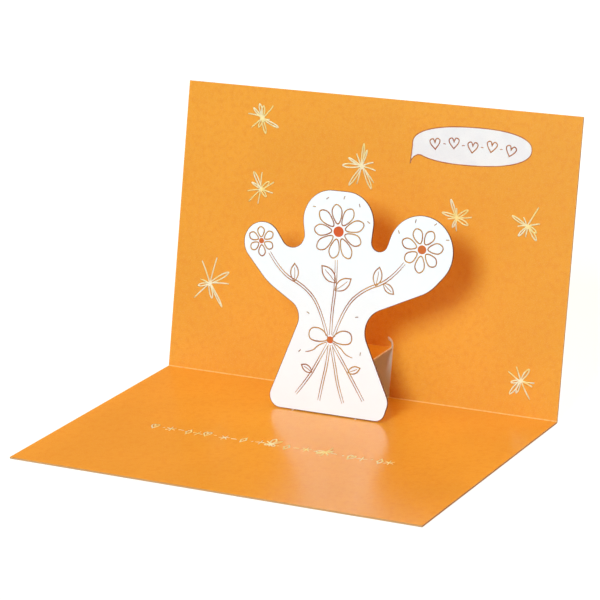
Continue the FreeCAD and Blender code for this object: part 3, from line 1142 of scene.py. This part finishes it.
@dataclass
class Bouquet:
    """The line drawing on the die-cut figure: a bow-tied bouquet, with a bloom in each lobe."""

    width: float = 0.42
    gap: float = 0.8
    leaf_shape: float = 0.24
    middle_points: int = 10
    dot_width: float = 0.4
    dot_turn: float = 37.0
    knot: Point = (0.4, 25.0)
    blooms: tuple[Bloom, ...] = (
        Bloom(0.4, 61.0, 9, 9.4, 1.9, 2.3, 10.0),
        Bloom(31.3, 58.3, 7, 7.4, 1.75, 1.9, 22.0),
        Bloom(-28.2, 55.0, 6, 4.9, 1.3, 1.2, 8.0),
    )
    stems: tuple[tuple[Point, ...], ...] = (
        ((0.4, 51.6), (1.0, 43.0), (0.2, 34.0), (0.5, 26.5)),
        ((25.4, 53.2), (20.5, 46.6), (11.5, 43.2), (4.6, 36.4), (1.6, 26.2)),
        ((-24.8, 51.5), (-19.6, 44.8), (-11.2, 42.0), (-4.4, 36.0), (-0.8, 26.2)),
        ((-0.3, 23.6), (-3.6, 17.0), (-6.4, 11.5), (-10.8, 5.6)),
        ((0.3, 23.2), (0.0, 17.0), (-1.2, 10.5), (-2.0, 4.4)),
        ((0.9, 23.4), (3.0, 16.5), (4.4, 10.5), (7.0, 4.6)),
        ((1.5, 23.6), (6.0, 17.8), (10.2, 12.0), (14.4, 6.2)),
    )
    leaves: tuple[tuple[float, float, float, float], ...] = (
        (0.8, 44.0, 47.0, 7.6), (0.7, 41.5, -52.0, 7.2), (15.6, 44.6, -8.0, 6.4),
        (-14.6, 42.8, 4.0, 6.0), (18.4, 45.8, -128.0, 5.0), (-5.4, 13.4, 62.0, 4.6),
        (7.9, 15.0, -66.0, 4.8),
    )
    dots: tuple[Point, ...] = (
        (-9.3, 68.4), (-4.6, 71.6), (1.6, 72.4), (7.4, 70.4), (11.2, 65.2), (40.2, 62.4),
        (35.4, 67.0), (28.2, 67.4), (22.4, 63.2), (-8.6, 33.0), (9.6, 33.6), (-10.6, 20.0),
        (12.0, 21.6),
    )

    def build(
        self, face: Face, line: bpy.types.Material, fill: bpy.types.Material,
        fleck: bpy.types.Material,
    ) -> list[bpy.types.Object]:
        """Draw the bouquet.

        Args:
            face: the face that it is printed on.
            line: the material of its lines.
            fill: the material of its solid patches.
            fleck: the material of the dots round it.

        Returns:
            The lines, the patches and the dots.
        """
        lines = Drawing("figure_lines", face, Slot.FIGURE)
        fills = Drawing("figure_patches", face, Slot.FIGURE)
        specks = Drawing("figure_dots", face, Slot.FIGURE)
        for bloom in self.blooms:
            self._draw_bloom(bloom, lines, fills)
        for stem in self.stems:
            lines.lines += self._draw_stem(stem)
        for across, up, turn, reach in self.leaves:
            outline, rib = leaf(reach, reach * self.leaf_shape, self.width)
            lines.lines += [outline.moved(across, up, turn), rib.moved(across, up, turn)]
        self._draw_bow(lines, fills)
        for i, (across, up) in enumerate(self.dots):
            dash = Stroke(((-0.6, 0.0), (0.0, 0.08), (0.6, 0.0)), self.dot_width, lift=0.7)
            specks.lines.append(dash.moved(across, up, self.dot_turn * i))
        return [lines.make(line), fills.make(fill), specks.make(fleck)]

    def _draw_bloom(self, bloom: Bloom, lines: Drawing, fills: Drawing) -> None:
        """Draw a flower's petals round its solid middle.

        Args:
            bloom: the flower.
            lines: the drawing that gets the petals.
            fills: the drawing that gets the middle.
        """
        for i in range(bloom.petals):
            angle = bloom.turn + 360.0 * i / bloom.petals
            reach = bloom.reach * (1.0 if i % 2 else 0.93)
            shape = petal(reach, bloom.spread, bloom.middle * 0.9, self.width)
            lines.lines.append(shape.moved(bloom.across, bloom.up, angle))
        angles = [2.0 * math.pi * i / self.middle_points for i in range(self.middle_points)]
        middle = tuple(
            (
                bloom.across + bloom.middle * 0.86 * math.cos(angle),
                bloom.up + bloom.middle * 0.8 * math.sin(angle),
            )
            for angle in angles
        )
        fills.fills.append(Stroke(middle, closed=True))

    def _draw_stem(self, stem: tuple[Point, ...]) -> list[Stroke]:
        """Draw a stem as two lines side by side.

        Args:
            stem: the points that it runs through.

        Returns:
            The two lines.
        """
        sides = []
        for side in (-0.5, 0.5):
            points = []
            for i, (across, up) in enumerate(stem):
                before = stem[max(0, i - 1)]
                after = stem[min(len(stem) - 1, i + 1)]
                length = math.hypot(after[0] - before[0], after[1] - before[1])
                shift = side * self.gap / length
                points.append((
                    across - (after[1] - before[1]) * shift,
                    up + (after[0] - before[0]) * shift,
                ))
            sides.append(Stroke(tuple(points), self.width * 0.85))
        return sides

    def _draw_bow(self, lines: Drawing, fills: Drawing) -> None:
        """Draw the bow that ties the stems.

        Args:
            lines: the drawing that gets its loops and tails.
            fills: the drawing that gets its knot.
        """
        across, up = self.knot
        loop = ((0.0, 0.0), (3.4, 3.6), (7.8, 3.4), (8.2, -0.6), (3.8, -1.2))
        tail = ((0.6, -0.7), (4.0, -1.9), (6.2, -4.6), (8.8, -5.0))
        knot = ((-1.1, -0.9), (-1.2, 0.9), (0.0, 1.2), (1.2, 0.9), (1.1, -0.9), (0.0, -1.2))
        for side in (-1.0, 1.0):
            for points, closed in ((loop, True), (tail, False)):
                mirrored = tuple((side * x, y) for x, y in points)
                lines.lines.append(Stroke(mirrored, self.width, closed).moved(across, up))
        fills.fills.append(Stroke(knot, closed=True).moved(across, up))


@dataclass
class CutRim:
    """A brown rim round the front of the figure: partly the cut's own brown and partly painted
    shade of the dark outline at its edge.

    Args:
        width: its width, in millimetres.
        square: the least cosine between the figure's front and a face that belongs to it.
    """

    width: float = 0.17
    square: float = 0.99

    def build(self, face: Face, scorch_and_shade: bpy.types.Material) -> bpy.types.Object:
        """Make the rim along the figure's own outline.

        Args:
            face: the front of the figure.
            scorch_and_shade: the rim's material.

        Returns:
            The rim.
        """
        shapes = bmesh.new()
        shapes.from_mesh(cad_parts["figure"].data)
        bmesh.ops.remove_doubles(shapes, verts=shapes.verts, dist=MERGE_DISTANCE)
        shapes.normal_update()
        others = [side for side in shapes.faces if side.normal.dot(face.out) < self.square]
        bmesh.ops.delete(shapes, geom=others, context="FACES")
        bmesh.ops.dissolve_faces(shapes, faces=shapes.faces)
        bmesh.ops.transform(shapes, matrix=face.place().inverted(), verts=shapes.verts)
        shapes.normal_update()
        rim = bmesh.ops.inset_individual(
            shapes, faces=shapes.faces, thickness=self.width * MM, use_even_offset=True
        )
        kept = set(rim["faces"])
        inner = [side for side in shapes.faces if side not in kept]
        bmesh.ops.delete(shapes, geom=inner, context="FACES")
        thicken(shapes)
        return show("figure_rim", shapes, face, [scorch_and_shade])


# ---------------------------------------------------------------- the card and the studio


@dataclass
class CardStock:
    """The three pieces of card, which keep their CAD shapes and get their finishes."""

    printed: PrintedCard = field(default_factory=PrintedCard)
    cover: WhiteCard = WhiteCard(
        "cover_card", tint(240, 238, 233), tint(216, 162, 108), 0.55, 0.006
    )
    # The figure's dark brown core is painted shade: it darkens the cut edges as if they lay in
    # shade.
    figure: WhiteCard = WhiteCard(
        "figure_card", tint(251, 251, 255), tint(96, 44, 34), 0.38, 0.003
    )

    def dress(self, shape: CardShape) -> None:
        """Put each finish on its node.

        Args:
            shape: where the card's creases and edges are.
        """
        finishes = {
            "cover": self.cover.make(shape),
            "inner_sheet": self.printed.make(shape),
            "figure": self.figure.make(shape),
        }
        for node, finish in finishes.items():
            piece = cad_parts[node]
            if not piece.material_slots:
                piece.data.materials.append(finish)
            for slot in piece.material_slots:
                slot.material = finish
            LOG.info("%s: dressed in %s", node, finish.name)


@dataclass
class Lamp:
    """A square soft lamp that looks at the card.

    Args:
        name: its name.
        azimuth: degrees to the right of the card's front.
        elevation: degrees above the horizon.
        distance: metres from the card.
        size: the lamp's side, in metres.
        level: the light that it adds to a white face square to it, where 1 is white.
        colour: its colour.
    """

    name: str
    azimuth: float
    elevation: float
    distance: float
    size: float
    level: float
    colour: tuple[float, float, float]

    def build(self, target: Vector) -> None:
        """Make the lamp.

        Args:
            target: the point that it looks at, in metres.
        """
        light = bpy.data.lights.new(self.name, "AREA")
        light.shape = "SQUARE"
        light.size = self.size
        light.color = self.colour
        light.energy = self.level * (math.pi * self.distance) ** 2
        back = towards(self.azimuth, self.elevation)
        lamp = add_object(self.name, light)
        lamp.location = target + back * self.distance
        lamp.rotation_euler = back.to_track_quat("Z", "Y").to_euler()


@dataclass
class Studio:
    """A white studio: a floor that keeps soft shadows, a warm surround, lamps and the camera.

    Lengths are in metres, the lens and sensor in millimetres, and angles in degrees. Azimuths go
    to the right from the card's front. The floor's bounce is how pale it is for the light that it
    gives back, and its shade and glow are how much of what is seen of it takes shadow or doesn't.
    """

    target: Vector = field(default_factory=lambda: Vector((-0.02054, 0.05, 0.03104)))
    azimuth: float = 28.978
    elevation: float = 17.309
    roll: float = 1.934
    distance: float = 1.00957
    lens: float = 178.65
    sensor: float = 36.0
    lit_point: Vector = field(default_factory=lambda: Vector((0.0, 0.03, 0.04)))
    floor_half: float = 3.0
    floor_drop: float = 0.0001
    floor_bounce: float = 0.62
    floor_shade: float = 0.42
    floor_glow: float = 0.72
    surround: float = 0.3
    surround_colour: Colour = (1.0, 0.3, 0.25, 1.0)
    wall_radius: float = 1.3
    wall_height: float = 1.5
    wall_level: float = 0.9
    wall_colour: Colour = (1.0, 0.46, 0.12, 1.0)
    lamps: tuple[Lamp, ...] = (
        Lamp("key", 2.0, 31.0, 1.7, 0.62, 0.765, (0.67, 1.03, 1.16)),
        Lamp("top", 180.0, 86.0, 1.6, 1.0, 0.42, (1.02, 0.98, 0.3)),
        Lamp("rear", 180.0, 16.0, 1.8, 0.6, 0.74, (0.8, 1.0, 1.13)),
    )

    def build(self) -> None:
        """Make the whole studio."""
        self._build_camera()
        self._build_floor()
        self._build_wall()
        self._build_surround()
        for lamp in self.lamps:
            lamp.build(self.lit_point)
        bpy.context.scene.view_settings.view_transform = "Standard"

    def _build_camera(self) -> None:
        """Put the camera where the photo was taken from."""
        around, roll = math.radians(self.azimuth), math.radians(self.roll)
        right = Vector((math.cos(around), math.sin(around), 0.0))
        back = towards(self.azimuth, self.elevation)
        up = back.cross(right)
        image_right = right * math.cos(roll) - up * math.sin(roll)
        image_up = right * math.sin(roll) + up * math.cos(roll)
        turn = Matrix([[axis[row] for axis in (image_right, image_up, back)] for row in range(3)])
        data = bpy.data.cameras.new("photo_camera")
        data.lens = self.lens
        data.sensor_width = self.sensor
        camera = add_object("photo_camera", data)
        camera.matrix_world = (
            Matrix.Translation(self.target + back * self.distance) @ turn.to_4x4()
        )
        bpy.context.scene.camera = camera

    def _seen(self, shader: Shader) -> Signal:
        """Give 1 for what the eye, a reflection or glass sees, and 0 for light that falls.

        Args:
            shader: the shader that gets the nodes.

        Returns:
            The signal.
        """
        rays = shader.node("ShaderNodeLightPath").outputs
        names = ("Is Camera Ray", "Is Glossy Ray", "Is Transmission Ray")
        eye, glossy, glass = (Signal(shader, rays[name]) for name in names)
        return eye.most(glossy).most(glass)

    def _matt(self, shader: Shader, level: float) -> bpy.types.Node:
        """Add a matt grey surface."""
        return shader.node("ShaderNodeBsdfDiffuse", None, {"Color": (level, level, level, 1.0)})

    def _glow(self, shader: Shader, kind: str, colour: Colour, level: float) -> bpy.types.Node:
        """Add a glowing surface or background."""
        return shader.node(kind, None, {"Color": colour, "Strength": level})

    def _build_floor(self) -> None:
        """Make a pale floor that looks white except in the card's shadow."""
        shader = Shader("floor_paper")
        seen = self._seen(shader)
        matt = self._matt(shader, self.floor_bounce)
        soft = self._matt(shader, self.floor_shade)
        glow = self._glow(shader, "ShaderNodeEmission", WHITE, self.floor_glow)
        white = shader.node("ShaderNodeAddShader", None, {0: soft.outputs[0], 1: glow.outputs[0]})
        both = shader.node(
            "ShaderNodeMixShader", None, {0: seen, 1: matt.outputs[0], 2: white.outputs[0]}
        )
        shader.close(both)

        shapes = bmesh.new()
        bmesh.ops.create_grid(shapes, x_segments=2, y_segments=2, size=self.floor_half)
        bmesh.ops.translate(shapes, vec=(0.0, 0.0, -self.floor_drop), verts=shapes.verts)
        self._stage("floor", shapes, shader.material)

    def _build_wall(self) -> None:
        """Make a tall warm wall round the card, which only its reflections show.

        It is what the satin faces mirror at shallow angles, and it casts no light or shadow.
        """
        shader = Shader("wall_paint")
        shader.close(
            self._glow(shader, "ShaderNodeEmission", self.wall_colour, self.wall_level)
        )
        shapes = bmesh.new()
        ring = bmesh.ops.create_circle(shapes, segments=64, radius=self.wall_radius)
        edges = list({edge for vertex in ring["verts"] for edge in vertex.link_edges})
        grown = bmesh.ops.extrude_edge_only(shapes, edges=edges)
        raise_grown(shapes, grown, self.wall_height)
        wall = self._stage("wall", shapes, shader.material)
        wall.visible_camera = False
        wall.visible_diffuse = False
        wall.visible_shadow = False
        wall.visible_transmission = False

    def _stage(
        self, name: str, shapes: bmesh.types.BMesh, material: bpy.types.Material
    ) -> bpy.types.Object:
        """Make an object that isn't part of the card.

        Args:
            name: its name.
            shapes: its shapes, which are used up.
            material: its material.

        Returns:
            The object.
        """
        prop = make_object(name, shapes, [material])
        return prop

    def _build_surround(self) -> None:
        """Make the world white to look at, and dimmer as a light."""
        world = bpy.data.worlds.new("studio")
        shader = Shader(world.name, world)
        dim = self._glow(shader, "ShaderNodeBackground", self.surround_colour, self.surround)
        white = self._glow(shader, "ShaderNodeBackground", WHITE, 1.0)
        both = shader.node(
            "ShaderNodeMixShader", None,
            {0: self._seen(shader), 1: dim.outputs[0], 2: white.outputs[0]},
        )
        shader.close(both, "ShaderNodeOutputWorld")
        bpy.context.scene.world = world


INKS = (
    Ink("star_ink", tint(255, 243, 212), tint(255, 228, 150), 0.5, 0.05),
    Ink("bubble_ink", tint(241, 233, 235), tint(245, 237, 238), 0.45),
    Ink("bubble_line_ink", tint(172, 84, 36), tint(196, 122, 62)),
    Ink("figure_line_ink", tint(168, 92, 34), tint(204, 146, 58)),
    Ink("figure_patch_ink", tint(214, 84, 30), tint(206, 106, 40)),
    Ink("figure_dot_ink", tint(150, 104, 84), tint(190, 150, 96)),
    # Painted shade, partly real scorch: the brown of the rim round the figure.
    Ink("figure_rim_scorch_and_shade", tint(118, 58, 40), tint(156, 94, 66), 0.7),
)


def main() -> None:
    """Dress the card, print its ornaments and set up the studio."""
    logging.basicConfig(level=logging.INFO, format="%(message)s")
    shape = CardShape()
    CardStock().dress(shape)

    star, white, russet, line, patch, dot, scorch_and_shade = (ink.make() for ink in INKS)
    pieces = [BackStars().build(shape.back_face, star)]
    pieces += Bubble().build(shape.back_face, white, russet)
    pieces.append(BaseRow().build(shape.base_face, star))
    pieces += Bouquet().build(shape.figure_face, line, patch, dot)
    pieces.append(CutRim().build(shape.figure_face, scorch_and_shade))
    Studio().build()

    LOG.info("pieces added: %d", len(pieces))


if __name__ == "__main__":
    main()
